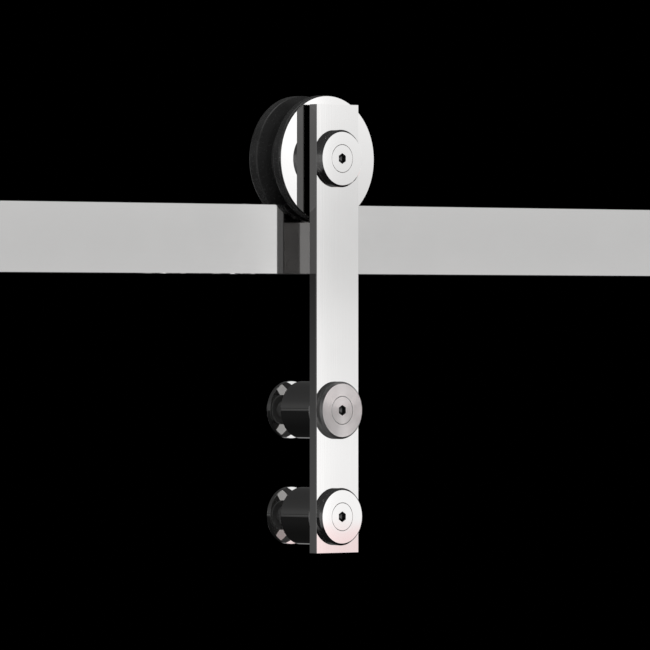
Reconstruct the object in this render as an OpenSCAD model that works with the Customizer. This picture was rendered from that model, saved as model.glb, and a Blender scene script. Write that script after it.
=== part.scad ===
// Sliding barn door hardware for a glass panel: a polished flat rail on wall spacers,
// and a strap hanger whose grooved wheel rolls along the rail's top edge.
// X runs along the rail, Z is up, and the wall is the plane Y = 0 with the room at -Y.
// The origin is on the wall, midway between the two wall studs, at the rail's mid height.

/* [Rail] */
// Length of the rail section
rail_len = 680; // [640:10:900]
// Height of the flat bar
rail_h = 40; // [34:1:50]
// Thickness of the flat bar
rail_t = 10; // [8:0.5:10.4]
// Chamfer along the bar's long edges
rail_edge = 0.3; // [0.2:0.1:1.5]

/* [Wall fixing] */
// Distance between the two wall studs
stud_spacing = 580; // [400:10:590]
// Clear distance from the wall to the back of the rail
wall_gap = 30; // [28:1:60]
// Diameter of the spacer barrel
spacer_d = 18; // [16:1:19]
// Diameter of the spacer's foot at the wall
foot_d = 28; // [24:1:36]
// Thickness of the spacer's foot
foot_t = 4; // [2:0.5:6]
// Thickness of the soft pad between the foot and the wall
pad_t = 2; // [1:0.5:3]
// Diameter of the wall studs' outer ends, which go into the wall
stud_d = 10; // [8.4:0.1:12]
// Length of stud that stands out into the wall
stud_embed = 45; // [30:1:80]

/* [Wheel] */
// Diameter over the flanges
wheel_d = 73; // [66:1:88]
// Width over both faces
wheel_w = 27; // [25:0.5:34]
// Radius of the groove's floor, which rolls on the rail
groove_r = 26; // [22:0.5:30]
// Width of the groove at its floor
groove_floor_w = 11; // [10.6:0.1:12]
// Width of the groove at its mouth
groove_mouth_w = 14; // [12.5:0.1:15]
// Thickness of the polished face plate
plate_t = 1.5; // [1:0.1:2.5]

/* [Bearings] */
// Outside diameter of each ball bearing
brg_d = 22; // [20:0.5:26]
// Width of each ball bearing
brg_w = 7; // [6:0.5:8]
// Balls in each bearing
ball_count = 7; // [5:1:8]

/* [Strap] */
// Width of the strap
strap_w = 33; // [28:1:42]
// Thickness of the strap
strap_t = 6; // [5:0.5:10]
// Strap above the wheel's axis
strap_above = 31; // [24:1:40]
// Strap below the wheel's axis
strap_below = 226; // [222:1:300]
// Chamfer along the strap's edges
strap_edge = 0.4; // [0.2:0.1:1]
// Gap between the strap and the wheel's face
wheel_gap = 2.5; // [1.5:0.1:5]

/* [Glass clamps] */
// Depth of the upper clamp below the wheel's axis
clamp_drop = 144.3; // [120:0.1:160]
// Distance between the two clamps
clamp_pitch = 61; // [45:0.5:64]
// Diameter of the standoff barrels
barrel_d = 33; // [26:1:42]
// Length of the standoff barrels
barrel_len = 25; // [20:0.5:34]
// Diameter of the caps and back discs
cap_d = 33; // [26:1:42]
// Thickness of the caps and back discs
cap_t = 4; // [4:0.1:6]
// Chamfer round the caps' outer edge
cap_edge = 1.2; // [0.4:0.1:2]
// Thickness of the glass that the clamps take
glass_t = 6; // [5:0.5:12]
// Thickness of each gasket
gasket_t = 1.2; // [0.5:0.1:2]
// Diameter of each gasket
gasket_d = 17; // [14:0.5:26]
// Outside diameter of the sleeve that lines the hole in the glass
sleeve_d = 10; // [9.6:0.1:12]

/* [Screws] */
// Thread diameter of the rail bolts and the axle and clamp screws
screw_d = 8; // [7:0.1:9.6]
// Head diameter of those countersunk screws
head_d = 16.2; // [13.5:0.1:16.2]
// Width across the flats of their hexagon sockets
hex_af = 5; // [4:0.1:6]
// Depth of their hexagon sockets
hex_depth = 3; // [2:0.1:4]
// Width across the flats of the axle's lock nut
nut_af = 13; // [12.5:0.1:14]
// Height of the axle's lock nut
nut_h = 7; // [5:0.1:9]

/* [End stops] */
// Width of a stop block along the rail
stop_w = 24; // [20:1:30]
// Wall thickness of a stop block beside the rail
stop_wall = 8; // [6:0.5:10]
// Depth that a stop block reaches down over the rail
stop_grip = 20; // [16:1:24]
// Rail left past each stop block
stop_inset = 10; // [2:1:20]
// Diameter of the rubber bumper
bumper_d = 22; // [16:1:24]
// Length of the rubber bumper
bumper_len = 12; // [8:0.5:16]
// Thread diameter of the grub screws
grub_d = 6; // [4:0.5:7]
// Distance between a block's two grub screws
grub_pitch = 12; // [10:0.5:13]
// Thread diameter of the bumper's screw
bumper_screw_d = 4; // [3:0.5:5]

/* [Clearances] */
// Radial clearance between a turned piece and the hole that it fits
fit = 0.05; // [0.02:0.01:0.1]
// Radial clearance round a screw that passes through a plain hole
screw_clear = 0.5; // [0.3:0.1:0.6]
// Clearance round each ball, to its races and its cage
ball_clear = 0.1; // [0.05:0.01:0.15]
// Height of the wheel's groove over the rail
roll_gap = 0.25; // [0.2:0.05:0.4]
// Distance between two screws that meet in one threaded barrel
thread_split = 4; // [2:0.5:6]

/* [Hidden] */

$fn = 96;
LEFT = -1;
RIGHT = 1;
cut = 1;                  // how far a cutting shape runs past the face that it opens
small_edge = 0.5;         // edge break of turned pieces
head_edge = 0.3;          // edge break of a screw's flat head
stud_collar = 1.5;        // step from a stud's outer end to the collar that seats on its spacer
arc_steps = 8;            // straight steps in a rounded corner of a turned outline

stud_r = stud_d / 2;
collar_r = stud_r + stud_collar;
screw_r = screw_d / 2;
screw_hole_r = screw_r + screw_clear;
head_r = head_d / 2;
head_over = max(0, head_r - screw_r + head_edge - cap_t);    // cone that shows past a cap's seat

// Stations along Y, from the wall towards the room
rail_back = -wall_gap;
rail_mid = rail_back - rail_t / 2;
rail_front = rail_back - rail_t;
spacer_back = -pad_t;
wheel_back = rail_mid + wheel_w / 2;
wheel_front = rail_mid - wheel_w / 2;
plate_back = wheel_front + plate_t;
strap_back = wheel_front - wheel_gap;
strap_front = strap_back - strap_t;
cap_front = strap_front - cap_t;
glass_gap = glass_t + 2 * gasket_t;
barrel_back = strap_back + barrel_len;
barrel_mid = strap_back + barrel_len / 2;
disc_front = barrel_back + glass_gap;
disc_back = disc_front + cap_t;

// Bearings inside the wheel: the front one seats on the face plate, the rear on a circlip
clip_t = 1;
clip_inset = 0.8;         // wheel left behind the circlip's groove
clip_bite = 1;            // depth of the circlip's groove
clip_play = 0.05;
clip_back = wheel_back - clip_inset;
clip_front = clip_back - clip_t;
front_brg_y = plate_back;
rear_brg_y = clip_front - clip_play - brg_w;
brg_r = brg_d / 2;
cage_rim = 0.4;           // cage left beside the balls' pockets
cage_t = 1.2;
shield_t = 0.3;
shield_inset = 0.3;
shield_play = 0.45;       // clearance between a shield and the cage
shield_gap = 0.5;         // open ring between a shield and the inner ring
race_depth = 0.275;       // depth of the balls' groove in each ring
pitch_r = (screw_r + brg_r) / 2;
ball_r = brg_w / 2 - shield_inset - shield_t - shield_play - cage_rim - ball_clear;
inner_r = pitch_r - ball_r - ball_clear + race_depth;
outer_r = pitch_r + ball_r + ball_clear - race_depth;
shoulder = 1.5;           // step in the wheel's bore between the two bearings
washer_t = 1.5;
screw_end = 1;            // screw showing past the nut

// Places on the rail and the hanger
rail_top = rail_h / 2;
axle_z = rail_top + roll_gap + groove_r;
upper_z = axle_z - clamp_drop;
lower_z = upper_z - clamp_pitch;
stud_x = stud_spacing / 2;
stop_x = rail_len / 2 - stop_inset - stop_w / 2;
stop_face = stop_x - stop_w / 2;
stop_depth = rail_t + 2 * stop_wall;
slot_play = 0.15;         // clearance between a stop block and each side of the rail
grub_recess = 1;
bumper_dish = 3;          // depth of the recess for the bumper's screw head

// Turns an outline of [radius, y] points about the line along Y through x, z
module turned(points, x = 0, z = axle_z)
    translate([x, 0, z]) rotate([-90, 0, 0]) rotate_extrude() polygon(points);

// Turns an outline of [radius, x] points about the line along X through y, z
module turned_x(points, y, z)
    translate([0, y, z]) rotate([0, 90, 0]) rotate_extrude() polygon(points);

// Plain round tube along Y, from y0 to y1
module tube(y0, y1, r_out, r_in, x = 0, z = axle_z)
    turned([[r_in, y0], [r_out, y0], [r_out, y1], [r_in, y1]], x, z);

// Points of a rounded corner of radius r about [cr, cy], between two angles
function arc(cr, cy, r, a0, a1) =
    [for (i = [0:arc_steps]) let (a = a0 + (a1 - a0) * i / arc_steps) [cr + r * cos(a), cy + r * sin(a)]];

// Hexagon socket along Y with a corner upwards, opening at y0 and cut towards dir
module hex_socket(y0, dir, af, depth, x, z)
    translate([x, y0 - dir * cut, z])
        rotate([-90 * dir, 0, 0]) rotate([0, 0, 30]) cylinder(h = depth + cut, d = af / cos(30), $fn = 6);

// Countersunk screw with its flat head at y0, pointing towards dir and ending at y1
module countersunk_screw(y0, y1, x, z) {
    dir = sign(y1 - y0);
    difference() {
        turned([
            [0, y0], [head_r - head_edge, y0], [head_r, y0 + dir * head_edge],
            [screw_r, y0 + dir * (head_r - screw_r + head_edge)],
            [screw_r, y1 - dir * small_edge], [screw_r - small_edge, y1], [0, y1]
        ], x, z);
        hex_socket(y0, dir, hex_af, hex_depth, x, z);
    }
}

// Space that a countersunk screw needs: its cone below the face at y0, then its plain hole
module countersink(y0, dir, depth, x, z) {
    mouth_r = head_r + fit;
    cone_h = mouth_r + head_edge - screw_hole_r;
    turned([
        [0, y0 - dir * cut], [mouth_r, y0 - dir * cut], [mouth_r, y0 + dir * head_edge],
        [screw_hole_r, y0 + dir * cone_h], [screw_hole_r, y0 + dir * (depth + cut)],
        [0, y0 + dir * (depth + cut)]
    ], x, z);
}

// Flat bar with chamfered long edges: w by t in section, extruded to length l
module bar(w, t, edge, l)
    linear_extrude(height = l, center = true) polygon([
        [-w / 2 + edge, -t / 2], [w / 2 - edge, -t / 2], [w / 2, -t / 2 + edge], [w / 2, t / 2 - edge],
        [w / 2 - edge, t / 2], [-w / 2 + edge, t / 2], [-w / 2, t / 2 - edge], [-w / 2, -t / 2 + edge]
    ]);

// ---- Rail and wall fixing ----

module rail_bar()
    color("silver") difference() {
        translate([0, rail_mid, 0]) rotate([0, 90, 0]) bar(rail_h, rail_t, rail_edge, rail_len);
        for (side = [LEFT, RIGHT]) countersink(rail_front, 1, rail_t, side * stud_x, 0);
    }

module rail_bolt(side)
    color("gainsboro") countersunk_screw(rail_front, rail_back + (wall_gap - thread_split) / 2, side * stud_x, 0);

// Threaded right through, for the rail bolt from the front and the wall stud from the back
module wall_spacer(side) {
    foot_front = spacer_back - foot_t;
    color("silver") turned([
        [screw_r + fit, rail_back], [spacer_d / 2 - small_edge, rail_back],
        [spacer_d / 2, rail_back + small_edge], [spacer_d / 2, foot_front],
        [foot_d / 2 - small_edge, foot_front], [foot_d / 2, foot_front + small_edge],
        [foot_d / 2, spacer_back], [screw_r + fit, spacer_back]
    ], side * stud_x, 0);
}

module wall_pad(side)
    color("dimgray") tube(spacer_back, 0, foot_d / 2 - small_edge, collar_r + fit, side * stud_x, 0);

// Thin end in the spacer, collar inside the pad, and a thicker end in the wall
module wall_stud(side) {
    start = rail_back + (wall_gap + thread_split) / 2;
    color("lightgray") turned([
        [0, start], [screw_r - small_edge, start], [screw_r, start + small_edge],
        [screw_r, spacer_back], [collar_r, spacer_back], [collar_r, 0], [stud_r, 0],
        [stud_r, stud_embed - stud_r], [small_edge, stud_embed], [0, stud_embed]
    ], side * stud_x, 0);
}

// ---- End stops, drawn at the right end and mirrored to the left ----

module on_side(side)
    mirror([side == LEFT ? 1 : 0, 0, 0]) children();

module grub_place()
    for (i = [-1, 1]) translate([stop_x + i * grub_pitch / 2, 0, rail_top - stop_grip / 2]) children();

module stop_block(side)
    color("silver") on_side(side) difference() {
        union() {
            translate([stop_face, rail_mid - stop_depth / 2, rail_top - stop_grip])
                cube([stop_w, stop_depth, axle_z - rail_top + stop_grip]);
            translate([stop_face, rail_mid, axle_z]) rotate([0, 90, 0]) cylinder(h = stop_w, d = stop_depth);
        }
        translate([stop_face - cut, rail_front - slot_play, rail_top - stop_grip - cut])
            cube([stop_w + 2 * cut, rail_t + 2 * slot_play, stop_grip + cut]);
        grub_place() translate([0, rail_mid, 0]) rotate([-90, 0, 0])
            cylinder(h = stop_depth, d = grub_d + 2 * fit);
        translate([stop_face - cut, rail_mid, axle_z]) rotate([0, 90, 0])
            cylinder(h = stop_w / 2 + cut, d = bumper_screw_d + 2 * fit);
    }

module stop_bumper(side) {
    nose = stop_face - bumper_len;
    round_r = bumper_d / 8;
    rim_r = bumper_d / 2;
    seat_r = bumper_screw_d;
    color("#1c1c1c") on_side(side) turned_x(concat(
        [[bumper_screw_d / 2 + fit, stop_face], [rim_r, stop_face]],
        arc(rim_r - round_r, nose + round_r, round_r, 0, -90),
        [[seat_r + fit, nose], [seat_r + fit, nose + bumper_dish], [bumper_screw_d / 2 + fit, nose + bumper_dish]]
    ), rail_mid, axle_z);
}

module bumper_screw(side) {
    head_face = stop_face - bumper_len + small_edge;
    head_back = stop_face - bumper_len + bumper_dish;
    tip = stop_face + stop_w / 2 - small_edge;
    color("gainsboro") on_side(side) difference() {
        turned_x([
            [0, head_face], [bumper_screw_d - small_edge, head_face], [bumper_screw_d, head_face + small_edge],
            [bumper_screw_d, head_back], [bumper_screw_d / 2, head_back], [bumper_screw_d / 2, tip], [0, tip]
        ], rail_mid, axle_z);
        translate([head_face - cut, rail_mid, axle_z]) rotate([0, 90, 0])
            cylinder(h = bumper_dish / 2 + cut, d = bumper_screw_d, $fn = 6);
    }
}

module grub_screws(side) {
    grub_len = slot_play + stop_wall - grub_recess;
    color("gainsboro") on_side(side) grub_place() translate([0, rail_back, 0]) rotate([-90, 0, 0])
        difference() {
            cylinder(h = grub_len, d = grub_d);
            translate([0, 0, grub_len / 2]) cylinder(h = grub_len, d = grub_d / 2, $fn = 6);
        }
}

// ---- Hanger: strap and axle ----

module hanger_strap() {
    strap_len = strap_above + strap_below;
    color("gainsboro") difference() {
        translate([0, strap_back - strap_t / 2, axle_z + strap_above - strap_len / 2])
            bar(strap_w, strap_t, strap_edge, strap_len);
        for (z = [axle_z, upper_z, lower_z]) countersink(cap_front, 1, cap_t + strap_t, 0, z);
    }
}

// Round cap with a countersunk hole: its outer face is at y0 and its seat lies towards dir
module cap(y0, dir, z) {
    seat = y0 + dir * cap_t;
    cap_r = cap_d / 2;
    color("whitesmoke") difference() {
        turned([
            [0, y0], [cap_r - cap_edge, y0], [cap_r, y0 + dir * cap_edge], [cap_r, seat], [0, seat]
        ], 0, z);
        countersink(y0, dir, cap_t, 0, z);
    }
}

module axle_screw()
    color("gainsboro") countersunk_screw(
        cap_front, rear_brg_y + brg_w + washer_t + nut_h + screw_end, 0, axle_z);

module axle_spacer()
    color("silver") tube(strap_back, front_brg_y, inner_r - small_edge, screw_r + fit);

module bearing_sleeve()
    color("silver") tube(front_brg_y + brg_w, rear_brg_y, inner_r - small_edge, screw_r + fit);

module axle_washer() {
    y0 = rear_brg_y + brg_w;
    color("silver") tube(y0, y0 + washer_t, inner_r, screw_r + fit);
}

module axle_nut() {
    y0 = rear_brg_y + brg_w + washer_t;
    collar_h = nut_h / 4;
    color("silver") difference() {
        union() {
            translate([0, y0, axle_z]) rotate([-90, 0, 0])
                cylinder(h = nut_h - collar_h, d = nut_af / cos(30), $fn = 6);
            tube(y0, y0 + nut_h, nut_af / 2 - small_edge, 0);
        }
        tube(y0 - cut, y0 + nut_h + cut, screw_r + fit, 0);
    }
}

// ---- Wheel and its bearings ----

module wheel_body() {
    rim_r = wheel_d / 2;
    lip = 1;
    mouth = groove_mouth_w / 2;
    floor = groove_floor_w / 2;
    root = 0.5;
    dish_in = brg_r + 4;
    dish_out = groove_r - 3;
    dish = 2;
    color("#202020") turned(concat(
        [[brg_r + fit, plate_back], [rim_r - small_edge, plate_back], [rim_r, plate_back + small_edge]],
        arc(rim_r - lip, rail_mid - mouth - lip, lip, 0, 90),
        [[groove_r + root, rail_mid - floor]],
        [[groove_r, rail_mid - floor + root], [groove_r, rail_mid + floor - root]],
        [[groove_r + root, rail_mid + floor]],
        arc(rim_r - lip, rail_mid + mouth + lip, lip, -90, 0),
        arc(rim_r - lip, wheel_back - lip, lip, 0, 90),
        [[dish_out, wheel_back], [dish_out - dish, wheel_back - dish]],
        [[dish_in + dish, wheel_back - dish], [dish_in, wheel_back]],
        [[brg_r + fit, wheel_back], [brg_r + fit, clip_back + clip_play], [brg_r + clip_bite, clip_back + clip_play]],
        [[brg_r + clip_bite, clip_front - clip_play], [brg_r + fit, clip_front - clip_play]],
        [[brg_r + fit, rear_brg_y], [brg_r - shoulder, rear_brg_y]],
        [[brg_r - shoulder, front_brg_y + brg_w], [brg_r + fit, front_brg_y + brg_w]]
    ));
}

module wheel_face_plate() {
    plate_r = wheel_d / 2 - small_edge / 2;
    color("white") turned([
        [brg_r - shoulder, wheel_front], [plate_r - small_edge, wheel_front],
        [plate_r, wheel_front + small_edge], [plate_r, plate_back], [brg_r - shoulder, plate_back]
    ]);
}

// A section of one bearing ring between two radii, less the groove that the balls run in
module race(y0, r_in, r_out)
    color("lightsteelblue") translate([0, y0, axle_z]) rotate([-90, 0, 0]) rotate_extrude() difference() {
        translate([r_in, 0]) square([r_out - r_in, brg_w]);
        translate([pitch_r, brg_w / 2]) circle(r = ball_r + ball_clear);
    }

module bearing_shield(y0, inset)
    color("silver") tube(y0 + inset, y0 + inset + shield_t, outer_r - fit, inner_r + shield_gap);

// The places of one bearing's balls
module ball_places(y0)
    for (i = [0:ball_count - 1])
        translate([0, y0 + brg_w / 2, axle_z]) rotate([0, i * 360 / ball_count, 0])
            translate([pitch_r, 0, 0]) children();

module bearing_balls(y0)
    color("white") ball_places(y0) sphere(r = ball_r);

module bearing_cage(y0) {
    mid = y0 + brg_w / 2;
    half_w = ball_r + ball_clear + cage_rim;
    color("goldenrod") difference() {
        tube(mid - half_w, mid + half_w, pitch_r + cage_t / 2, pitch_r - cage_t / 2);
        ball_places(y0) rotate([0, 90, 0])
            cylinder(h = cage_t + 2 * cut, r = ball_r + ball_clear, center = true, $fn = 48);
    }
}

// Retaining ring, open at the bottom so that it can be squeezed into its groove
module bearing_circlip() {
    clip_r = brg_r + clip_bite - fit;
    mouth = 8;
    color("dimgray") difference() {
        tube(clip_front, clip_back, clip_r, brg_r - shoulder);
        translate([-mouth / 2, clip_front - cut, axle_z - clip_r - cut])
            cube([mouth, clip_t + 2 * cut, clip_bite + shoulder + 2 * cut]);
    }
}

// ---- Glass clamps ----

module clamp_screw(z)
    color("gainsboro") countersunk_screw(cap_front, barrel_mid - thread_split / 2, 0, z);

module back_screw(z)
    color("gainsboro") countersunk_screw(disc_back, barrel_mid + thread_split / 2, 0, z);

module standoff(z) {
    r = barrel_d / 2;
    color("silver") turned([
        [screw_r + fit, strap_back], [r - small_edge, strap_back], [r, strap_back + small_edge],
        [r, barrel_back - small_edge], [r - small_edge, barrel_back], [screw_r + fit, barrel_back]
    ], 0, z);
}

module gasket(y0, z)
    color("dimgray") tube(y0, y0 + gasket_t, gasket_d / 2, sleeve_d / 2 + fit, 0, z);

module glass_sleeve(z)
    color("black") tube(barrel_back, disc_front - head_over - fit, sleeve_d / 2, screw_r + fit, 0, z);

rail_bar();
rail_bolt(LEFT);  // left_rail_bolt
wall_spacer(LEFT);  // left_wall_spacer
wall_pad(LEFT);  // left_wall_pad
wall_stud(LEFT);  // left_wall_stud
rail_bolt(RIGHT);  // right_rail_bolt
wall_spacer(RIGHT);  // right_wall_spacer
wall_pad(RIGHT);  // right_wall_pad
wall_stud(RIGHT);  // right_wall_stud
stop_block(LEFT);  // left_stop_block
stop_bumper(LEFT);  // left_stop_bumper
bumper_screw(LEFT);  // left_bumper_screw
grub_screws(LEFT);  // left_grub_screws
stop_block(RIGHT);  // right_stop_block
stop_bumper(RIGHT);  // right_stop_bumper
bumper_screw(RIGHT);  // right_bumper_screw
grub_screws(RIGHT);  // right_grub_screws
hanger_strap();
cap(cap_front, 1, axle_z);  // axle_cap
axle_screw();
axle_spacer();
race(front_brg_y, screw_r + fit, inner_r);  // front_bearing_inner
race(rear_brg_y, screw_r + fit, inner_r);  // rear_bearing_inner
bearing_sleeve();
axle_washer();
axle_nut();
wheel_body();
wheel_face_plate();
race(front_brg_y, outer_r, brg_r);  // front_bearing_outer
race(rear_brg_y, outer_r, brg_r);  // rear_bearing_outer
bearing_shield(front_brg_y, shield_inset);  // front_bearing_shield
bearing_shield(rear_brg_y, brg_w - shield_inset - shield_t);  // rear_bearing_shield
bearing_circlip();
bearing_balls(front_brg_y);  // front_bearing_balls
bearing_balls(rear_brg_y);  // rear_bearing_balls
bearing_cage(front_brg_y);  // front_bearing_cage
bearing_cage(rear_brg_y);  // rear_bearing_cage
cap(cap_front, 1, upper_z);  // upper_clamp_cap
clamp_screw(upper_z);  // upper_clamp_screw
standoff(upper_z);  // upper_standoff
gasket(barrel_back, upper_z);  // upper_front_gasket
glass_sleeve(upper_z);  // upper_glass_sleeve
gasket(disc_front - gasket_t, upper_z);  // upper_rear_gasket
cap(disc_back, -1, upper_z);  // upper_back_disc
back_screw(upper_z);  // upper_back_screw
cap(cap_front, 1, lower_z);  // lower_clamp_cap
clamp_screw(lower_z);  // lower_clamp_screw
standoff(lower_z);  // lower_standoff
gasket(barrel_back, lower_z);  // lower_front_gasket
glass_sleeve(lower_z);  // lower_glass_sleeve
gasket(disc_front - gasket_t, lower_z);  // lower_rear_gasket
cap(disc_back, -1, lower_z);  // lower_back_disc
back_screw(lower_z);  // lower_back_screw
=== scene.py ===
"""Looks of the sliding barn door hardware: polished steel, black nylon and rubber in a dark studio.

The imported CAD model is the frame. Turned pieces are made again here with rounded edges, sockets
and threads, and each stands for its CAD node. Lengths are metres in the model's own frame:
X runs along the rail, Z is up, the wall is Y = 0 and the room lies at -Y.
"""
import math

import bmesh
import bpy
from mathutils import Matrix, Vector


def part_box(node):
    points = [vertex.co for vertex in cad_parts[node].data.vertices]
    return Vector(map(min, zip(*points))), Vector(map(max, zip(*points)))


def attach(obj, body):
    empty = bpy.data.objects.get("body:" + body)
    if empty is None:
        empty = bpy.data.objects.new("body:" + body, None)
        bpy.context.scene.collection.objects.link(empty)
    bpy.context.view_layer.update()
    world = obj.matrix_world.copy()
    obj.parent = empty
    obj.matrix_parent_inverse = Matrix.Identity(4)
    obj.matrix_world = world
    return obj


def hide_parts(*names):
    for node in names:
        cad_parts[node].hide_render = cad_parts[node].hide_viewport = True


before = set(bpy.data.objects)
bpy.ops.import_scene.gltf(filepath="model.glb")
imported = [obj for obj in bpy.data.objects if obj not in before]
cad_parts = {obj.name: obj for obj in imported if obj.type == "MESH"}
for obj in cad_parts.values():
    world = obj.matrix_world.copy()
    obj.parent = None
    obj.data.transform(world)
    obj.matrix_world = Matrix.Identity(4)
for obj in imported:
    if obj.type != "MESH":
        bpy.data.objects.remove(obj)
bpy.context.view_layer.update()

MM = 0.001
SIDES = ("left", "right")
LEVELS = ("upper", "lower")
ENDS = ("front", "rear")
HEX = math.radians(60)              # angle between the flats of a hexagon
WARM = (1.0, 0.992, 0.985)          # tint of polished stainless steel


# ---------------------------------------------------------------- places taken from the frame

def spans(node):
    """A node's lowest and highest corners, its centre and its size."""
    low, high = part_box(node)
    return low, high, (low + high) / 2, high - low


axle_centre = spans("wheel_body")[2]
rail_centre = spans("rail_bar")[2]


# ---------------------------------------------------------------- materials

def node_tree(material):
    material.use_nodes = True
    tree = material.node_tree
    return tree, tree.nodes["Principled BSDF"]


def add(tree, kind, **settings):
    """A new node. Settings become its attributes, and inputs the values of its sockets."""
    node = tree.nodes.new(kind)
    inputs = settings.pop("inputs", {})
    for key, value in settings.items():
        setattr(node, key, value)
    for key, value in inputs.items():
        node.inputs[key].default_value = value
    return node


def noise(tree, coordinates, scale, detail=3.0, roughness=0.55):
    node = add(tree, "ShaderNodeTexNoise", inputs={"Scale": scale, "Detail": detail, "Roughness": roughness})
    tree.links.new(coordinates, node.inputs["Vector"])
    return node.outputs["Fac"]


def remap(tree, value, low, high, start=0.0, end=1.0, smooth=False):
    """Maps value from start..end to low..high."""
    kind = "SMOOTHSTEP" if smooth else "LINEAR"
    node = add(tree, "ShaderNodeMapRange", interpolation_type=kind,
               inputs={"From Min": start, "From Max": end, "To Min": low, "To Max": high})
    tree.links.new(value, node.inputs["Value"])
    return node.outputs["Result"]


def maths(tree, operation, a, b=None):
    node = add(tree, "ShaderNodeMath", operation=operation)
    for socket, value in zip(node.inputs, (a, b)):
        if isinstance(value, (int, float)):
            socket.default_value = value
        elif value is not None:
            tree.links.new(value, socket)
    return node.outputs["Value"]


def blend_colour(tree, factor, a, b):
    """A mix of two colours, each a tuple or a socket."""
    node = add(tree, "ShaderNodeMix", data_type="RGBA")
    tree.links.new(factor, node.inputs["Factor"])
    for name, value in (("A", a), ("B", b)):
        socket = [s for s in node.inputs if s.name == name and s.type == "RGBA"][0]
        if isinstance(value, tuple):
            socket.default_value = (*value, 1)
        else:
            tree.links.new(value, socket)
    return [s for s in node.outputs if s.type == "RGBA"][0]


def object_space(tree, scale=(1, 1, 1)):
    place = add(tree, "ShaderNodeTexCoord")
    mapping = add(tree, "ShaderNodeMapping", inputs={"Scale": scale})
    tree.links.new(place.outputs["Object"], mapping.inputs["Vector"])
    return mapping.outputs["Vector"]


def edge_mask(tree, radius):
    """1 near a piece's edges and 0 on its flats, from how far a rounded normal leans from the true one."""
    rounded = add(tree, "ShaderNodeBevel", samples=4, inputs={"Radius": radius})
    true = add(tree, "ShaderNodeNewGeometry")
    dot = add(tree, "ShaderNodeVectorMath", operation="DOT_PRODUCT")
    tree.links.new(rounded.outputs["Normal"], dot.inputs[0])
    tree.links.new(true.outputs["Normal"], dot.inputs[1])
    return remap(tree, dot.outputs["Value"], 1.0, 0.0, start=0.80, end=0.995)


def bump(tree, shader, height, strength, distance):
    node = add(tree, "ShaderNodeBump", inputs={"Strength": strength, "Distance": distance})
    tree.links.new(height, node.inputs["Height"])
    tree.links.new(node.outputs["Normal"], shader.inputs["Normal"])


def turning_height(tree, per_metre):
    """Fine rings left by a lathe round the Y axis of the piece's own origin."""
    place = add(tree, "ShaderNodeTexCoord")
    split = add(tree, "ShaderNodeSeparateXYZ")
    tree.links.new(place.outputs["Object"], split.inputs["Vector"])
    squares = [maths(tree, "POWER", split.outputs[axis], 2.0) for axis in ("X", "Z")]
    radius = maths(tree, "SQRT", maths(tree, "ADD", *squares))
    ring = add(tree, "ShaderNodeCombineXYZ")
    tree.links.new(radius, ring.inputs["X"])
    tree.links.new(split.outputs["Y"], ring.inputs["Y"])
    return noise(tree, ring.outputs["Vector"], per_metre, detail=2.0, roughness=0.5)


def polished_steel(name, tone, haze=0.05, grain=(1, 1, 1), turned=0.0, painted_shade_side=0, painted_shade_factor=0.5):
    """Mirror-polished stainless steel: faint grain or lathe rings, hazy smudges and brighter, softer edges.
    turned is how far brushing round the axis stretches the reflections. Where painted_shade_side is 1, faces
    towards the wall get painted shade: their colour is darkened by the factor painted_shade_factor. Where it
    is
    -1, those towards the room do. This painted shade stands in for darker reflections; the steel isn't darker
    there."""
    material = bpy.data.materials.new(name)
    tree, shader = node_tree(material)
    shader.inputs["Metallic"].default_value = 1.0
    base = tuple(tone * t for t in WARM)
    worn = tuple(min(1.0, c * 1.06) for c in base)
    dull = tuple(c * 0.98 for c in base)
    smudges = noise(tree, object_space(tree), 38.0, detail=4.0)
    if turned:
        lines = turning_height(tree, 3200.0)
        shader.inputs["Anisotropic"].default_value = turned
        tangent = add(tree, "ShaderNodeTangent", direction_type="RADIAL", axis="Y")
        tree.links.new(tangent.outputs["Tangent"], shader.inputs["Tangent"])
    else:
        lines = noise(tree, object_space(tree, grain), 900.0, detail=3.0)
    edges = edge_mask(tree, 0.3 * MM)
    mottle = remap(tree, maths(tree, "ADD", smudges, lines), 0.0, 1.0, start=0.75, end=1.3)
    colour = blend_colour(tree, edges, blend_colour(tree, mottle, base, dull), worn)
    rough = remap(tree, smudges, haze * 0.7, haze * 1.35, start=0.35, end=0.7)
    rough = maths(tree, "ADD", rough, remap(tree, lines, 0.0, haze * 0.3, start=0.4, end=0.65))
    rough = maths(tree, "ADD", rough, remap(tree, edges, 0.0, 0.08))
    # Painted shade: faces towards one side get a darker colour that stands in for dimmer reflections, not a
    # property of steel.
    if painted_shade_side:
        split = add(tree, "ShaderNodeSeparateXYZ")
        tree.links.new(add(tree, "ShaderNodeNewGeometry").outputs["Normal"], split.inputs["Vector"])
        painted_shade_mask = maths(tree, "GREATER_THAN", maths(tree, "MULTIPLY", split.outputs["Y"], painted_shade_side), 0.5)
        colour = blend_colour(tree, painted_shade_mask, colour, tuple(c * painted_shade_factor for c in base))
    tree.links.new(colour, shader.inputs["Base Color"])
    tree.links.new(rough, shader.inputs["Roughness"])
    bump(tree, shader, lines, 0.04, 0.02 * MM)
    return material


def plain_metal(name, colour, roughness, grain_scale=420.0, spread=0.12):
    """Ground, plated or pressed metal: mottled tone and roughness over a fine grain."""
    material = bpy.data.materials.new(name)
    tree, shader = node_tree(material)
    shader.inputs["Metallic"].default_value = 1.0
    fine = noise(tree, object_space(tree), grain_scale, detail=4.0)
    broad = noise(tree, object_space(tree), 70.0)
    darker = tuple(c * (1 - spread) for c in colour)
    worn = tuple(min(1.0, c * 1.25 + 0.03) for c in colour)
    shade = blend_colour(tree, remap(tree, broad, 0.0, 1.0, start=0.35, end=0.65), colour, darker)
    tree.links.new(blend_colour(tree, edge_mask(tree, 0.25 * MM), shade, worn), shader.inputs["Base Color"])
    tree.links.new(remap(tree, fine, roughness * 0.75, roughness * 1.3, start=0.3, end=0.7),
                   shader.inputs["Roughness"])
    bump(tree, shader, fine, 0.12, 0.03 * MM)
    return material


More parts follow.
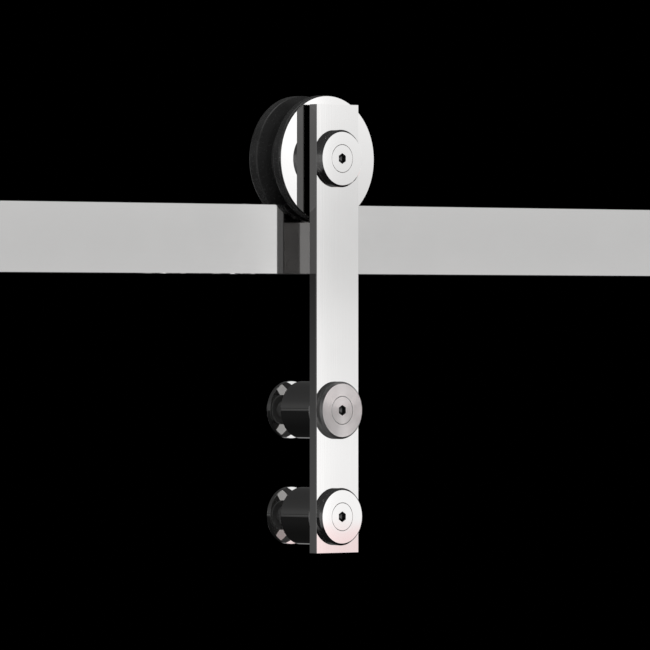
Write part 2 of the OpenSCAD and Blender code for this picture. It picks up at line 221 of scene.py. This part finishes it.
def plastic(name, colour, roughness, grain_scale, bump_strength, wear, sheen=0.0):
    """Moulded plastic or rubber: slight mottling, a fine surface texture and paler rubbed edges."""
    material = bpy.data.materials.new(name)
    tree, shader = node_tree(material)
    shader.inputs["Sheen Weight"].default_value = sheen
    fine = noise(tree, object_space(tree), grain_scale, detail=4.0)
    broad = noise(tree, object_space(tree), 55.0)
    paler = tuple(c * 1.5 + 0.004 for c in colour)
    rubbed = tuple(c + wear * 0.1 for c in colour)
    shade = blend_colour(tree, remap(tree, broad, 0.0, 0.5, start=0.35, end=0.7), colour, paler)
    tree.links.new(blend_colour(tree, edge_mask(tree, 0.4 * MM), shade, rubbed), shader.inputs["Base Color"])
    tree.links.new(remap(tree, fine, roughness * 0.8, roughness * 1.25, start=0.3, end=0.7),
                   shader.inputs["Roughness"])
    bump(tree, shader, fine, bump_strength, 0.05 * MM)
    return material


# Painted shade on STEEL_STRAP and STEEL_BARREL (faces towards the wall) and STEEL_DISC (faces towards the
# room).
STEEL_RAIL = polished_steel("steel_rail", 0.70, haze=0.04, grain=(0.02, 1, 1))
STEEL_STRAP = polished_steel("steel_strap", 0.86, haze=0.03, grain=(1, 1, 0.02), painted_shade_side=1, painted_shade_factor=0.43)
STEEL_PLATE = polished_steel("steel_plate", 0.92, haze=0.015)
STEEL_BLOCK = polished_steel("steel_block", 0.80, haze=0.08, grain=(1, 1, 0.02))
STEEL_BARREL = polished_steel("steel_barrel", 0.80, haze=0.02, turned=0.1, painted_shade_side=1, painted_shade_factor=0.75)
STEEL_CAP = polished_steel("steel_cap", 0.92, haze=0.02, turned=0.05)
STEEL_TURNED = polished_steel("steel_turned", 0.95, haze=0.32, turned=0.85)
STEEL_DISC = polished_steel("steel_disc", 0.85, haze=0.015, turned=0.05, painted_shade_side=-1, painted_shade_factor=0.75)
# Dark grey steel for the insides of screw sockets: its dark colour is painted shade for the hollow, and its
# higher roughness is the socket's duller finish.
SOCKET_PAINTED_SHADE = plain_metal("socket_painted_shade", (0.20, 0.20, 0.20), 0.40)
ZINC = plain_metal("zinc", (0.52, 0.53, 0.55), 0.32)
BEARING = plain_metal("bearing", (0.60, 0.61, 0.62), 0.18)
BRASS = plain_metal("cage_brass", (0.72, 0.52, 0.26), 0.3)
SPRING = plain_metal("spring_steel", (0.07, 0.07, 0.075), 0.38)
NYLON = plastic("black_nylon", (0.020, 0.020, 0.020), 0.24, 700.0, 0.04, wear=0.10)
GASKET = plastic("clamp_rubber", (0.10, 0.10, 0.10), 0.45, 700.0, 0.10, wear=0.1)
RUBBER = plastic("black_rubber", (0.03, 0.03, 0.031), 0.72, 900.0, 0.35, wear=0.2, sheen=0.15)


def paint(piece, material):
    piece.data.materials.clear()
    piece.data.materials.append(material)


# ---------------------------------------------------------------- turned pieces

TINY = 1e-7                         # a length taken as zero
STRAIGHT = math.radians(178)        # a corner opener than this isn't rounded
ROUND_SHARE = 0.45                  # most of an edge that rounding takes at each end
SHARP = math.radians(8)             # edges over this angle are shaded sharp


def across_flats(apothem):
    """Radius of a hexagon with a corner at the top, as a function of the angle from +X."""
    def radius(angle):
        return apothem / math.cos((angle + HEX / 2) % HEX - HEX / 2)
    return radius


def rounded(outline, radius, steps=3):
    """Rounds the corners of a closed outline of (radius, station) points, all but those on the axis."""
    out = []
    count = len(outline)
    for i, point in enumerate(outline):
        here = Vector(point)
        before = Vector(outline[i - 1]) - here
        after = Vector(outline[(i + 1) % count]) - here
        if min(here.x, before.length, after.length) < TINY:
            out.append(tuple(here))
            continue
        turn = before.angle(after)
        if turn > STRAIGHT:
            out.append(tuple(here))
            continue
        shorter = min(before.length, after.length)
        reach = min(radius / math.tan(turn / 2), shorter * ROUND_SHARE)
        start = here + before.normalized() * reach
        end = here + after.normalized() * reach
        for step in range(steps + 1):
            t = step / steps
            out.append(tuple(start * (1 - t) ** 2 + here * 2 * t * (1 - t) + end * t ** 2))
    return out


def smooth(piece):
    """Smooth shading that keeps flat faces flat and crisp edges sharp."""
    mesh = piece.data
    mesh.shade_smooth()
    mesh.set_sharp_from_angle(angle=SHARP)
    weighted = piece.modifiers.new("even_normals", "WEIGHTED_NORMAL")
    weighted.keep_sharp = True
    weighted.weight = 90
    return piece


def new_piece(name, made, centre, along):
    """A bmesh as an object at centre, with the mesh's own Y turned to the direction along."""
    bmesh.ops.recalc_face_normals(made, faces=made.faces)
    mesh = bpy.data.meshes.new(name)
    made.to_mesh(mesh)
    made.free()
    piece = bpy.data.objects.new(name, mesh)
    bpy.context.scene.collection.objects.link(piece)
    piece.location = centre
    if along == "X":
        piece.rotation_euler.z = -math.pi / 2
    return smooth(piece)


def revolve(made, outline, segments=128, closed=True):
    """Adds the surface that an outline sweeps about Y. A point is (radius, station) or (radius, station,
    shape), where shape is a function of the angle that limits the radius, as a hexagon does."""
    rings = []
    for point in outline:
        radius, station = point[0], point[1]
        shape = point[2] if len(point) > 2 else None
        if radius < TINY:
            rings.append([made.verts.new((0, station, 0))])
            continue
        ring = []
        for i in range(segments):
            angle = 2 * math.pi * i / segments
            r = min(radius, shape(angle)) if shape else radius
            ring.append(made.verts.new((r * math.cos(angle), station, r * math.sin(angle))))
        rings.append(ring)
    pairs = list(zip(rings, rings[1:]))
    if closed:
        pairs.append((rings[-1], rings[0]))
    for a, b in pairs:
        if len(a) == 1 and len(b) == 1:
            continue
        for i in range(segments):
            j = (i + 1) % segments
            if len(a) == 1:
                made.faces.new((a[0], b[i], b[j]))
            elif len(b) == 1:
                made.faces.new((a[i], b[0], a[j]))
            else:
                made.faces.new((a[i], b[i], b[j], a[j]))


def turned(name, node, outline, material, slot, centre, body, along="Y", closed=True, segments=128):
    """A turned piece that stands for a CAD node."""
    made = bmesh.new()
    revolve(made, outline, segments, closed)
    piece = new_piece(name, made, centre, along)
    return stand_for(piece, node, material, body)


def stand_for(piece, node, material, body):
    paint(piece, material)
    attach(piece, body)
    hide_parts(node)
    return piece


# Where a thread's crest starts and ends and its root starts, as shares of the pitch
CREST_START = 0.38
CREST_END = 0.50
ROOT_START = 0.88


def thread(outer, start, end, pitch, depth):
    """Ring points of a thread's crests and roots between two stations, for revolve."""
    turns = max(1, round(abs(end - start) / pitch))
    step = (end - start) / turns
    points = []
    for i in range(turns):
        s = start + i * step
        points += [
            (outer - depth, s),
            (outer, s + CREST_START * step),
            (outer, s + CREST_END * step),
            (outer - depth, s + ROOT_START * step),
        ]
    return points


# Screws: one size of countersunk head, hexagon socket and shank through the whole model
HEAD_R = spans("axle_screw")[3].x / 2
SHANK_R = 4 * MM
HEAD_EDGE = 0.3 * MM
SOCKET = across_flats(2.5 * MM)
SOCKET_MOUTH = across_flats(2.72 * MM)
SOCKET_CHAMFER = 0.25 * MM
SOCKET_DEPTH = 3 * MM
SOCKET_RIM = 0.1 * MM               # below this depth a socket is painted dark: painted shade in its hollow
DRILL_POINT = 1 * MM                # depth of the cone below a socket
PITCH = 1.25 * MM
THREAD_DEPTH = 0.35 * MM
FIT = 0.05 * MM
SOFT = 0.08 * MM                    # radius of a broken edge


def screw_outline(length, thread_from):
    """Countersunk screw from its head's face at station 0 to its end, as an outline from axis to axis."""
    cone_end = HEAD_EDGE + HEAD_R - SHANK_R
    beyond = SOCKET(HEX / 2) + 1 * MM   # past the hexagon's corners, so that it sets the radius
    tip = 0.5 * MM
    outline = [
        (0, SOCKET_DEPTH + DRILL_POINT),
        (beyond, SOCKET_DEPTH, SOCKET),
        (beyond, SOCKET_CHAMFER, SOCKET),
        (beyond, 0, SOCKET_MOUTH),
        (HEAD_R - HEAD_EDGE, 0),
        (HEAD_R - HEAD_EDGE * 0.35, HEAD_EDGE * 0.25),
        (HEAD_R, HEAD_EDGE),
        (SHANK_R, cone_end),
    ]
    outline += thread(SHANK_R, thread_from, length - tip, PITCH, THREAD_DEPTH)
    outline += [(SHANK_R - THREAD_DEPTH, length - tip), (SHANK_R - tip, length), (0, length)]
    return outline


def countersunk_screw(name, body, thread_share=0.5, finish=STEEL_CAP):
    """A countersunk screw in place of its node. A back screw has its head at the back, others in front."""
    low, high, centre, size = spans(name)
    outline = screw_outline(size.y, thread_from=size.y * (1 - thread_share))
    face = low.y
    if name.endswith("back_screw"):
        outline = [(p[0], -p[1], *p[2:]) for p in outline]
        face = high.y
    piece = turned(name + "_made", name, outline, finish, "screw_steel",
                   Vector((centre.x, face, centre.z)), body, closed=False, segments=96)
    # Painted shade: faces deep in the socket take the dark socket material.
    piece.data.materials.append(SOCKET_PAINTED_SHADE)
    for polygon in piece.data.polygons:
        at = polygon.center
        near_axis = Vector((at.x, at.z)).length < SHANK_R * 0.8
        if near_axis and SOCKET_RIM < abs(at.y) < SOCKET_DEPTH + 2 * DRILL_POINT:
            polygon.material_index = 1


def cap(name, outer_face, finish):
    """Round cap with a chamfered rim and a countersunk hole; outer_face is "front" or "back"."""
    low, high, centre, size = spans(name)
    rim = size.x / 2
    edge = 1.2 * MM
    mouth = HEAD_R + FIT
    hole = SHANK_R + 0.5 * MM
    cone_end = mouth - hole + HEAD_EDGE
    outline = rounded([
        (mouth, 0), (rim - edge, 0), (rim, edge), (rim, size.y),
        (hole, size.y), (hole, cone_end), (mouth, HEAD_EDGE)
    ], SOFT)
    face = low.y
    if outer_face == "back":
        outline = [(p[0], -p[1]) for p in outline]
        face = high.y
    turned(name + "_made", name, outline, finish, "polished_steel",
           Vector((centre.x, face, centre.z)), "hanger", segments=160)


def ring_outline(inner, outer, length, edge):
    """Outline of a plain ring with broken outer edges, from station 0."""
    return rounded([
        (inner, 0), (outer - edge, 0), (outer, edge),
        (outer, length - edge), (outer - edge, length), (inner, length)
    ], SOFT)


def plain_ring(name, inner, material, slot, body, edge=0.3 * MM):
    low, _, centre, size = spans(name)
    outline = ring_outline(inner, size.z / 2, size.y, edge)
    turned(name + "_made", name, outline, material, slot, Vector((centre.x, low.y, centre.z)), body)


# ---------------------------------------------------------------- rail and wall fixing

def wall_spacer(side):
    """Barrel with a foot, which holds the rail off the wall."""
    low, _, centre, size = spans(side + "_wall_spacer")
    bore = SHANK_R + FIT
    barrel_r = 9 * MM
    foot_r = size.x / 2
    foot = size.y - 4 * MM
    edge = 0.5 * MM
    outline = rounded([
        (bore, 0), (barrel_r - edge, 0), (barrel_r, edge), (barrel_r, foot),
        (foot_r - edge, foot), (foot_r, foot + edge), (foot_r, size.y), (bore, size.y)
    ], SOFT * 2)
    turned(side + "_spacer_made", side + "_wall_spacer", outline, STEEL_BARREL, "polished_steel",
           Vector((centre.x, low.y, centre.z)), "rail_assembly")


def wall_stud(side, collar_r):
    """Stud with a fine thread in the spacer, a collar in the pad and a coarse thread in the wall."""
    low, _, centre, size = spans(side + "_wall_stud")
    pad_low, pad_high, _, _ = spans(side + "_wall_pad")
    stud_r = collar_r - 1.5 * MM
    collar_start = pad_low.y - low.y
    collar_end = pad_high.y - low.y
    thread_end = size.y - stud_r
    outline = [(0, 0), (SHANK_R - 0.8 * MM, 0)]
    outline += thread(SHANK_R, 0.3 * MM, collar_start - 0.5 * MM, PITCH, THREAD_DEPTH)
    outline += [(SHANK_R - 0.4 * MM, collar_start), (collar_r, collar_start), (collar_r, collar_end),
                (stud_r - 0.5 * MM, collar_end)]
    outline += thread(stud_r, collar_end + 1 * MM, thread_end, 2.2 * MM, 0.7 * MM)
    outline += [(stud_r - 0.9 * MM, thread_end + 1 * MM), (0.6 * MM, size.y - 0.2 * MM), (0, size.y)]
    turned(side + "_stud_made", side + "_wall_stud", outline, ZINC, "zinc_steel",
           Vector((centre.x, low.y, centre.z)), "rail_assembly", closed=False, segments=72)


def wall_fixing(side):
    """Rail bolt, spacer, pad and threaded stud at one end of the rail."""
    collar_r = spans(side + "_wall_stud")[3].x / 2
    countersunk_screw(side + "_rail_bolt", "rail_assembly")
    wall_spacer(side)
    plain_ring(side + "_wall_pad", collar_r + FIT, RUBBER, "black_rubber", "rail_assembly")
    wall_stud(side, collar_r)


def bumper(side):
    """Rubber bumper with two grooves round it and a dish for its screw's head."""
    low, high, centre, size = spans(side + "_stop_bumper")
    if side == "left":
        seat_x, toward = low.x, 1
    else:
        seat_x, toward = high.x, -1
    r, length = size.z / 2, size.x
    hole = 2.05 * MM
    head_hole = 4.05 * MM
    dish = 3 * MM
    groove = 0.5 * MM
    outline = [(hole, 0), (r, 0)]
    for share in (0.3, 0.5):
        s = length * share
        outline += [(r, s - groove), (r - groove, s), (r, s + groove)]
    outline += [(r, length * 0.72), (r - 1.2 * MM, length * 0.93), (r - 3 * MM, length),
                (head_hole, length), (head_hole, length - dish), (hole, length - dish)]
    outline = [(p[0], toward * p[1]) for p in rounded(outline, 0.4 * MM, steps=8)]
    turned(side + "_bumper_made", side + "_stop_bumper", outline, RUBBER, "black_rubber",
           Vector((seat_x, centre.y, centre.z)), "rail_assembly", along="X")


# ---------------------------------------------------------------- wheel

BEARING_R = spans("rear_bearing_outer")[3].x / 2
SEAT_R = BEARING_R + FIT
SHOULDER_R = BEARING_R - 1.5 * MM   # inside edge of the shoulders that the bearings rest on


def wheel_body():
    """Nylon wheel with a rounded groove, a dished back, and bearing seats with a circlip's groove."""
    low, high, centre, size = spans("wheel_body")
    bearing_low = spans("rear_bearing_outer")[0]
    front_high = spans("front_bearing_outer")[1]
    clip_low, clip_high, _, _ = spans("bearing_circlip")
    rim = size.x / 2
    middle = rail_centre.y
    mouth, floor_half, floor_r = 7 * MM, 5.5 * MM, 26 * MM
    knee_r, knee = floor_r + 4 * MM, floor_half + 0.25 * MM
    dish_in, dish_out, dish = 15 * MM, 23 * MM, 2 * MM
    clip_r = SEAT_R + 1 * MM
    profile = [
        (SEAT_R, low.y), (rim, low.y), (rim, middle - mouth),
        (knee_r, middle - knee), (floor_r, middle - floor_half),
        (floor_r, middle + floor_half), (knee_r, middle + knee),
        (rim, middle + mouth), (rim, high.y),
        (dish_out, high.y), (dish_out - dish, high.y - dish),
        (dish_in + dish, high.y - dish), (dish_in, high.y),
        (SEAT_R, high.y), (SEAT_R, clip_high.y + FIT), (clip_r, clip_high.y + FIT),
        (clip_r, clip_low.y - FIT), (SEAT_R, clip_low.y - FIT),
        (SEAT_R, bearing_low.y), (SHOULDER_R, bearing_low.y),
        (SHOULDER_R, front_high.y), (SEAT_R, front_high.y)
    ]
    outline = rounded([(radius, y - low.y) for radius, y in profile], 0.9 * MM, steps=12)
    turned("wheel_body_made", "wheel_body", outline, NYLON, "black_nylon",
           Vector((centre.x, low.y, centre.z)), "wheel", segments=192)


def face_plate():
    """Polished plate on the wheel's front."""
    low, _, centre, size = spans("wheel_face_plate")
    r, t = size.x / 2, size.y
    edge = 0.2 * MM
    outline = rounded([(SHOULDER_R, 0), (r - edge, 0), (r, edge), (r, t), (SHOULDER_R, t)], SOFT)
    turned("face_plate_made", "wheel_face_plate", outline, STEEL_PLATE, "polished_steel",
           Vector((centre.x, low.y, centre.z)), "wheel", segments=192)


def lock_nut():
    """Hexagon nut with chamfered corners and a round collar at its back."""
    low, _, centre, size = spans("axle_nut")
    bore = SHANK_R + FIT
    flats = size.z / 2
    corner = size.x / 2
    chamfer = 0.9 * MM
    length = size.y
    collar = length - length / 4
    collar_r = flats - 0.7 * MM
    hexagon = across_flats(flats)
    outline = [
        (bore + 0.5 * MM, 0), (flats - 0.2 * MM, 0), (corner, chamfer, hexagon),
        (corner, collar - chamfer, hexagon), (flats - 0.1 * MM, collar),
        (collar_r, collar + 0.3 * MM), (collar_r, length - 0.8 * MM),
        (flats - 1.5 * MM, length), (bore + 0.4 * MM, length), (bore, length - 0.4 * MM), (bore, 0.5 * MM)
    ]
    turned("axle_nut_made", "axle_nut", outline, ZINC, "zinc_steel",
           Vector((centre.x, low.y, centre.z)), "hanger", segments=144)


def axle():
    """Axle screw, its cap, spacers, washer and lock nut."""
    cap("axle_cap", "front", STEEL_CAP)
    countersunk_screw("axle_screw", "hanger", thread_share=0.35)
    for name in ("axle_spacer", "bearing_sleeve", "axle_washer"):
        plain_ring(name, SHANK_R + FIT, ZINC, "zinc_steel", "hanger")
    lock_nut()


# ---------------------------------------------------------------- glass clamps

def clamp(level):
    """One glass clamp: cap, standoff barrel, gaskets, sleeve, back disc and both screws."""
    front_finish = STEEL_TURNED if level == "upper" else STEEL_CAP
    cap(level + "_clamp_cap", "front", front_finish)
    cap(level + "_back_disc", "back", STEEL_DISC)
    countersunk_screw(level + "_clamp_screw", "hanger", finish=front_finish)
    countersunk_screw(level + "_back_screw", "hanger", thread_share=0.75)
    bore = SHANK_R + FIT
    plain_ring(level + "_standoff", bore, STEEL_BARREL, "polished_steel", "hanger", edge=0.5 * MM)
    sleeve_r = spans(level + "_glass_sleeve")[3].x / 2
    plain_ring(level + "_glass_sleeve", bore, GASKET, "black_nylon", "hanger")
    for which in ("front", "rear"):
        plain_ring(level + "_" + which + "_gasket", sleeve_r + FIT, GASKET, "black_rubber", "hanger")


# ---------------------------------------------------------------- pieces that keep their CAD shape

def keep_cad(material, name):
    paint(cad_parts[name], material)


keep_cad(STEEL_RAIL, "rail_bar")
keep_cad(STEEL_STRAP, "hanger_strap")
keep_cad(SPRING, "bearing_circlip")
for side in SIDES:
    keep_cad(STEEL_BLOCK, side + "_stop_block")
    keep_cad(ZINC, side + "_grub_screws")
    keep_cad(STEEL_CAP, side + "_bumper_screw")
for end in ENDS:
    keep_cad(BRASS, end + "_bearing_cage")
    for part in ("inner", "outer", "balls", "shield"):
        keep_cad(BEARING, end + "_bearing_" + part)

for side in SIDES:
    wall_fixing(side)
    bumper(side)
wheel_body()
face_plate()
axle()
for level in LEVELS:
    clamp(level)


# ---------------------------------------------------------------- floor, studio and camera

VIEW_AZIMUTH = math.radians(-42.4)  # the camera stands to the left of the hanger, level with it
back = Vector((math.sin(VIEW_AZIMUTH), -math.cos(VIEW_AZIMUTH), 0))


def floor():
    """A pale floor well below the object. Polished metal reflects the dark studio and not this floor."""
    radius, drop, segments = 12.0, 0.90, 96
    made = bmesh.new()
    bmesh.ops.create_circle(made, cap_ends=True, segments=segments, radius=radius)
    mesh = bpy.data.meshes.new("floor")
    made.to_mesh(mesh)
    made.free()
    disc = bpy.data.objects.new("floor", mesh)
    bpy.context.scene.collection.objects.link(disc)
    disc.location = (0, 0, -drop)
    disc.visible_glossy = False
    material = bpy.data.materials.new("floor")
    tree, shader = node_tree(material)
    tone = noise(tree, object_space(tree), 3.0)
    colour = blend_colour(tree, tone, (0.78, 0.78, 0.77), (0.84, 0.84, 0.83))
    tree.links.new(colour, shader.inputs["Base Color"])
    shader.inputs["Roughness"].default_value = 0.8
    paint(disc, material)


def softbox(tree, direction, centre, half_width, half_height, softness):
    """How much of a rectangular softbox lies in a direction: its mask and its two tangent coordinates."""
    facing = Vector(centre).normalized()
    right = facing.cross(Vector((0, 0, 1))).normalized()
    up = right.cross(facing)

    def dot(vector):
        node = add(tree, "ShaderNodeVectorMath", operation="DOT_PRODUCT")
        tree.links.new(direction, node.inputs[0])
        node.inputs[1].default_value = vector
        return node.outputs["Value"]

    depth = dot(facing)
    u = maths(tree, "DIVIDE", dot(right), depth)
    v = maths(tree, "DIVIDE", dot(up), depth)
    mask = maths(tree, "GREATER_THAN", depth, 0.05)
    for value, half in ((u, half_width), (v, half_height)):
        size = maths(tree, "ABSOLUTE", value)
        mask = maths(tree, "MULTIPLY", mask,
                     remap(tree, size, 1.0, 0.0, start=half - softness, end=half + softness, smooth=True))
    return mask, u, v


def ramp(tree, value, stops):
    """A colour ramp over value; stops are (value, (r, g, b)) in rising order."""
    low, high = stops[0][0], stops[-1][0]
    node = add(tree, "ShaderNodeValToRGB")
    tree.links.new(remap(tree, value, 0.0, 1.0, start=low, end=high), node.inputs["Fac"])
    elements = node.color_ramp.elements
    for i, (at, colour) in enumerate(stops):
        element = elements[i] if i < 2 else elements.new(1.0)
        element.position = (at - low) / (high - low)
        element.color = (*colour, 1)
    return node.outputs["Color"]


def grey(level):
    return (level, level, level)


def scaled(tree, colour, factor):
    node = add(tree, "ShaderNodeVectorMath", operation="SCALE")
    if isinstance(colour, tuple):
        node.inputs[0].default_value = colour
    else:
        tree.links.new(colour, node.inputs[0])
    tree.links.new(factor, node.inputs["Scale"])
    return node.outputs["Vector"]


KEY = (-back.x, back.y, 0)          # where a front face sends the camera's line of sight
# Each softbox: direction, half width, half height, softness and level
SOFTBOXES = (
    ((0, -1, 0), 0.34, 0.34, 0.24, 0.80),              # straight in front
    (KEY, 0.85, 0.26, 0.08, 0.42),                     # a wide weaker box round the key
    ((back.x, back.y, 0), 0.30, 0.25, 0.12, 0.115),    # beside the camera
    ((1, -0.15, 0), 0.40, 0.45, 0.20, 0.60),           # right
    ((-1, 0.10, 0.10), 0.35, 0.35, 0.20, 0.50),        # left
    ((-0.05, 0.18, 1), 0.42, 0.42, 0.12, 0.70),        # overhead
    ((-0.30, -0.10, 0.95), 0.14, 0.45, 0.05, 2.00),    # narrow strip above
    ((0.68, 0.68, -0.28), 0.18, 0.10, 0.05, 0.25),     # behind, low on the right
    ((0, 1, -0.20), 0.36, 0.34, 0.12, 0.70),           # behind
)


def room(tree, height):
    """The unlit room by height, darker below."""
    return ramp(tree, height, [
        (-0.65, grey(0.007)), (-0.30, grey(0.011)), (-0.05, grey(0.012)), (0.045, grey(0.014)),
        (0.09, grey(0.055)), (0.20, grey(0.056)), (0.40, grey(0.040)), (0.65, grey(0.034))
    ])


def horizon(tree, height):
    """A fine uneven band at the horizon."""
    return ramp(tree, height, [
        (-0.0400, grey(0.0)), (-0.0330, grey(0.080)), (-0.0167, grey(0.068)),
        (-0.0007, grey(0.036)), (0.0113, grey(0.015)), (0.0207, grey(0.055)),
        (0.0273, grey(0.130)), (0.0380, grey(0.150)), (0.0450, grey(0.0))
    ])


def floor_light(tree, split):
    """Light off the studio's floor in front, weaker in the ring of directions that round sides mirror."""
    by_height = ramp(tree, split.outputs["Z"], [
        (-0.60, grey(0.0)), (-0.45, grey(0.30)), (-0.08, grey(0.40)), (-0.03, grey(0.0))
    ])
    by_facing = ramp(tree, split.outputs["Y"], [
        (-1.0, grey(1.0)), (-0.80, grey(1.0)), (-0.765, grey(0.25)), (-0.58, grey(0.25)),
        (-0.52, grey(1.0)), (-0.15, grey(1.0)), (0.0, grey(0.0))
    ])
    return scaled(tree, by_height, by_facing)


def key_light(tree, direction):
    """The key softbox: uneven, pink at its foot, with a brighter upright streak."""
    mask, u, v = softbox(tree, direction, KEY, 0.30, 0.15, 0.05)
    glow = ramp(tree, v, [
        (-0.0500, (0.965, 0.775, 0.775)), (-0.0276, (0.965, 0.775, 0.775)), (-0.0266, grey(0.975)),
        (-0.0167, grey(1.0)), (-0.0060, grey(0.90)), (-0.0007, grey(0.865)), (0.0047, grey(0.765)),
        (0.0113, grey(0.72)), (0.0167, grey(0.76)), (0.0287, grey(0.935)), (0.0500, grey(0.95))
    ])
    streak = maths(tree, "ABSOLUTE", maths(tree, "ADD", u, -0.0045))
    boost = remap(tree, streak, 1.32, 1.0, start=0.001, end=0.006, smooth=True)
    return scaled(tree, scaled(tree, glow, boost), mask)


def brightest(tree, lights):
    """The brightest of the lights in each direction."""
    total = lights[0]
    for light in lights[1:]:
        brighter = add(tree, "ShaderNodeVectorMath", operation="MAXIMUM")
        tree.links.new(total, brighter.inputs[0])
        tree.links.new(light, brighter.inputs[1])
        total = brighter.outputs["Vector"]
    return total


def studio():
    """The dark studio as a world: black to the camera, with softboxes that the polished faces reflect."""
    world = bpy.data.worlds.new("studio")
    bpy.context.scene.world = world
    world.use_nodes = True
    tree = world.node_tree
    tree.nodes.clear()
    direction = add(tree, "ShaderNodeTexCoord").outputs["Generated"]
    split = add(tree, "ShaderNodeSeparateXYZ")
    tree.links.new(direction, split.inputs["Vector"])
    height = split.outputs["Z"]
    lights = [room(tree, height), horizon(tree, height), floor_light(tree, split), key_light(tree, direction)]
    for centre, half_width, half_height, softness, level in SOFTBOXES:
        mask = softbox(tree, direction, centre, half_width, half_height, softness)[0]
        lights.append(scaled(tree, grey(level), mask))
    rays = add(tree, "ShaderNodeLightPath")
    unseen = maths(tree, "SUBTRACT", 1.0, rays.outputs["Is Camera Ray"])
    background = add(tree, "ShaderNodeBackground")
    tree.links.new(scaled(tree, brightest(tree, lights), unseen), background.inputs["Color"])
    output = add(tree, "ShaderNodeOutputWorld")
    tree.links.new(background.outputs["Background"], output.inputs["Surface"])


def ceiling_light():
    """Even light from a wide ceiling for the floor, nylon and rubber. Polished metal doesn't show it."""
    data = bpy.data.lights.new("ceiling", "SUN")
    data.angle = math.radians(100)
    data.energy = 2.6
    light = bpy.data.objects.new("ceiling", data)
    bpy.context.scene.collection.objects.link(light)
    light.location = (0, 0, 2)
    light.rotation_euler = Vector((-0.3, -0.4, 1)).to_track_quat("Z", "Y").to_euler()
    light.visible_camera = False
    light.visible_glossy = False


def camera():
    """A very long lens, level, a little below the wheel."""
    lens, distance = 415.0, 4.32
    below_axle = 95.4 * MM
    beside_axle = 10.3 * MM
    data = bpy.data.cameras.new("camera")
    data.lens = lens
    data.sensor_width = 36.0
    data.clip_start = 0.1
    data.clip_end = 100.0
    rig = bpy.data.objects.new("camera", data)
    bpy.context.scene.collection.objects.link(rig)
    aim = Vector((beside_axle, rail_centre.y, axle_centre.z - below_axle))
    rig.location = aim + back * distance
    rig.rotation_euler = back.to_track_quat("Z", "Y").to_euler()
    bpy.context.scene.camera = rig


floor()
studio()
ceiling_light()
camera()
bpy.context.scene.view_settings.view_transform = "Standard"
